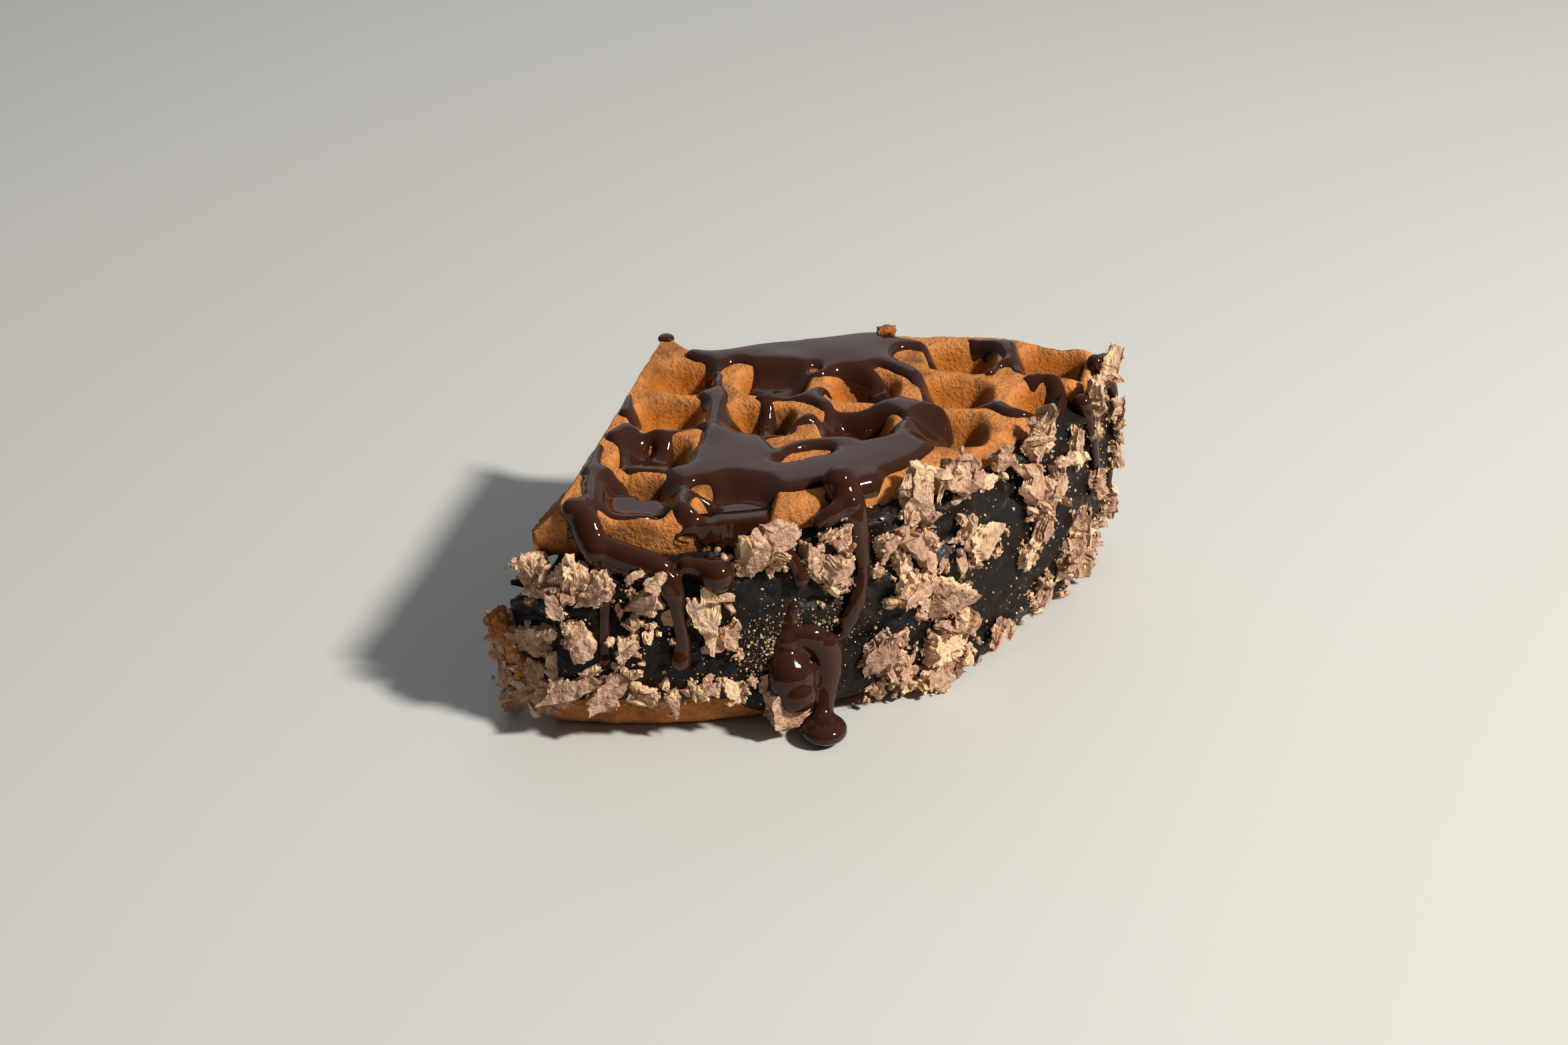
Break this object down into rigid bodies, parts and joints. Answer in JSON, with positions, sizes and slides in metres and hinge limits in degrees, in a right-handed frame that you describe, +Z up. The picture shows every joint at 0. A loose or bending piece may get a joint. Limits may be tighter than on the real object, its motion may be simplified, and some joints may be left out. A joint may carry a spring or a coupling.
{
  "type": "belgian waffle sandwich wedge",
  "caption": "Wedge cut from a round waffle sandwich, with a thick chocolate filling, crushed wafer flakes on its round side and chocolate sauce over the top.",
  "frame": {"origin": "middle of the bounding box in plan, on the plane that the bottom waffle rests on", "axes": "+Z up, +X to the right along the back cut, -Y to the front, towards the round side that the picture shows"},
  "size_m": [0.1254, 0.0898, 0.0496],
  "materials": {
    "waffle": "baked golden brown batter, dry and slightly porous",
    "chocolate_filling": "dark chocolate cream, soft sheen"
  },
  "bodies": {
    "root": {"waffle_bottom": "waffle", "filling": "chocolate_filling", "waffle_top": "waffle"}
  },
  "joints": []
}
